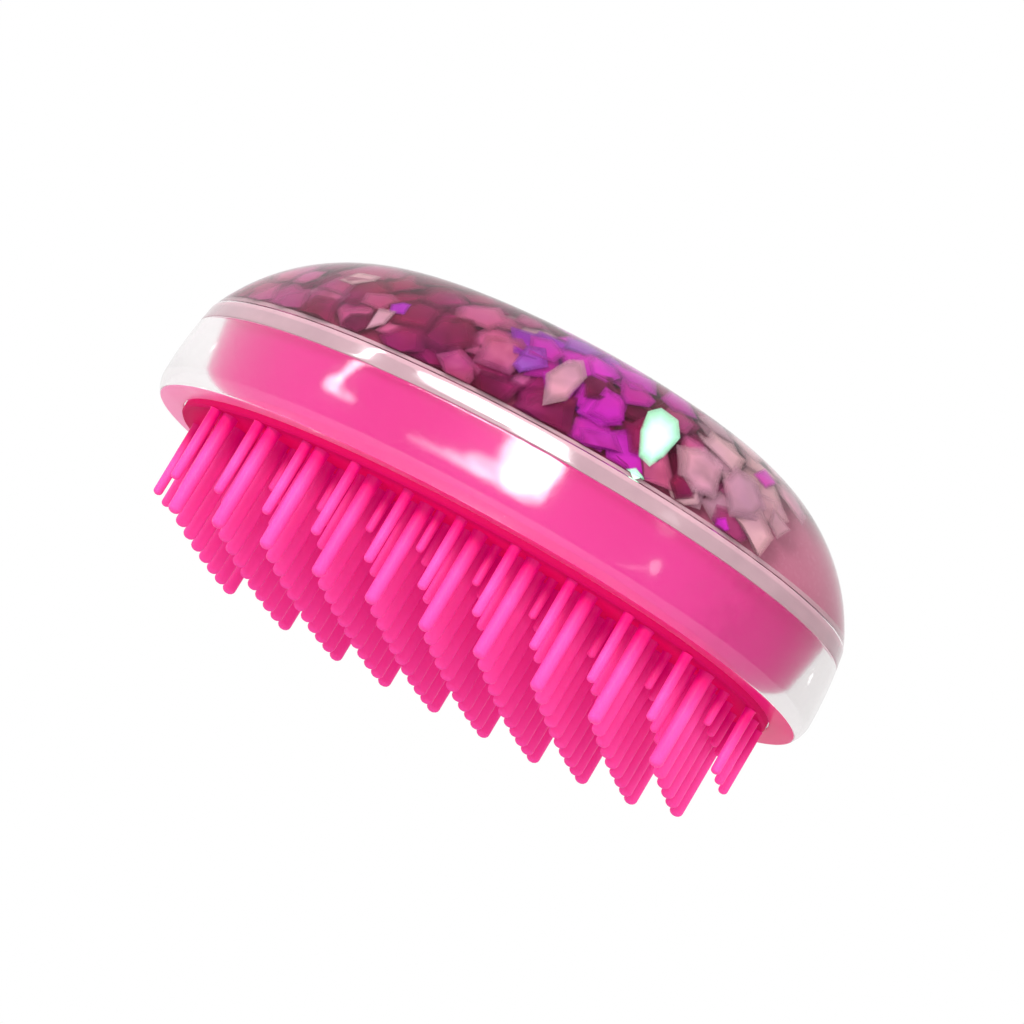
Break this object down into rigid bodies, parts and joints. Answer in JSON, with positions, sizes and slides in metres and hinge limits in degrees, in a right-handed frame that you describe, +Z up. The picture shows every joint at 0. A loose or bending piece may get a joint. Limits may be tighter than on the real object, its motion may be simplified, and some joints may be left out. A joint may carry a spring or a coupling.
{
  "type": "bristle brush",
  "caption": "Palm-held grooming brush: clear domed back over loose reflective flakes, pink lined clear skirt, and an oval field of long, middle and short bristles.",
  "frame": {"origin": "centre of the oval body in plan, at the level of the longest bristle tips", "axes": "+X along the brush's length, +Y across it, +Z up out of the domed back; the bristles point along -Z"},
  "size_m": [0.105, 0.07, 0.051],
  "materials": {
    "clear_plastic": "clear glossy moulded plastic, slightly warm grey at its edges",
    "clear_seal": "smooth translucent silicone",
    "rose_plastic": "smooth rose mauve moulding under the flakes",
    "pink_plastic": "smooth opaque pink moulding",
    "pad_elastomer": "smooth satin pink moulding",
    "bristle_plastic": "satin hot pink flexible moulding",
    "film_maroon": "metallised film, maroon",
    "film_rose": "metallised film, rose",
    "film_magenta": "metallised film, magenta",
    "film_violet": "metallised film, violet",
    "film_silver": "metallised film, rose silver",
    "film_green": "metallised film, flashing green to white"
  },
  "bodies": {
    "root": {"cover": "clear_plastic", "cover_seal": "clear_seal", "flakes_maroon": "film_maroon", "flakes_rose": "film_rose", "flakes_magenta": "film_magenta", "flakes_violet": "film_violet", "flakes_silver": "film_silver", "flakes_green": "film_green", "core_dome": "rose_plastic", "girth_plate": "clear_plastic", "skirt": "clear_plastic", "liner": "pink_plastic", "pad": "pad_elastomer", "bristles_long": "bristle_plastic", "bristles_middle": "bristle_plastic", "bristles_short": "bristle_plastic"}
  },
  "joints": []
}
